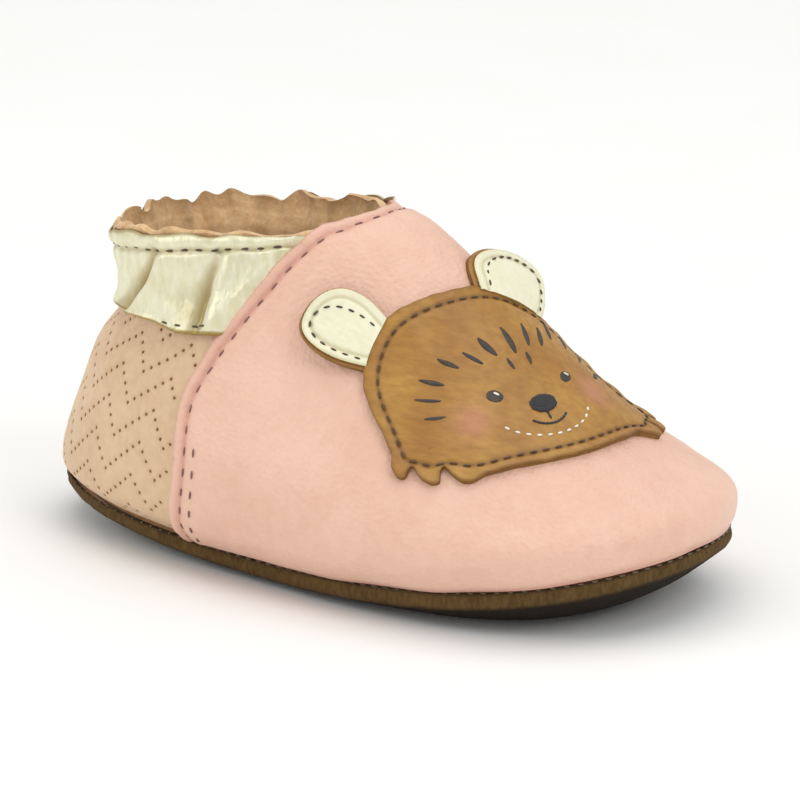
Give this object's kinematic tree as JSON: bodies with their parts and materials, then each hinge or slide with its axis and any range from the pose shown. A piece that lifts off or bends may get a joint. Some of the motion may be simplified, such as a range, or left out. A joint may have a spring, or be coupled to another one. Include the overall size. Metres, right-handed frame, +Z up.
{
  "type": "leather slipper",
  "caption": "Soft-soled leather slipper for a small child, with a gathered elastic ankle band, a perforated heel panel and an animal-face patch stitched on the vamp.",
  "frame": {"origin": "on the floor, under the middle of the shoe's box", "axes": "+X towards the toe, +Y towards the wearer's left, which is the big-toe side, +Z up"},
  "size_m": [0.1276, 0.0662, 0.0622],
  "materials": {
    "brown_suede": "napped",
    "lining_suede": "napped",
    "beige_leather": "perforated, satin",
    "pink_leather": "smooth, satin",
    "gold_leather": "metallic, satin",
    "tan_leather": "smooth, satin"
  },
  "bodies": {
    "root": {"outsole": "brown_suede", "insole": "lining_suede", "upper": "beige_leather", "vamp": "pink_leather", "ankle_band": "gold_leather", "head_patch": "tan_leather", "ear_backing_right": "tan_leather", "ear_facing_right": "gold_leather", "ear_backing_left": "tan_leather", "ear_facing_left": "gold_leather"}
  },
  "joints": []
}
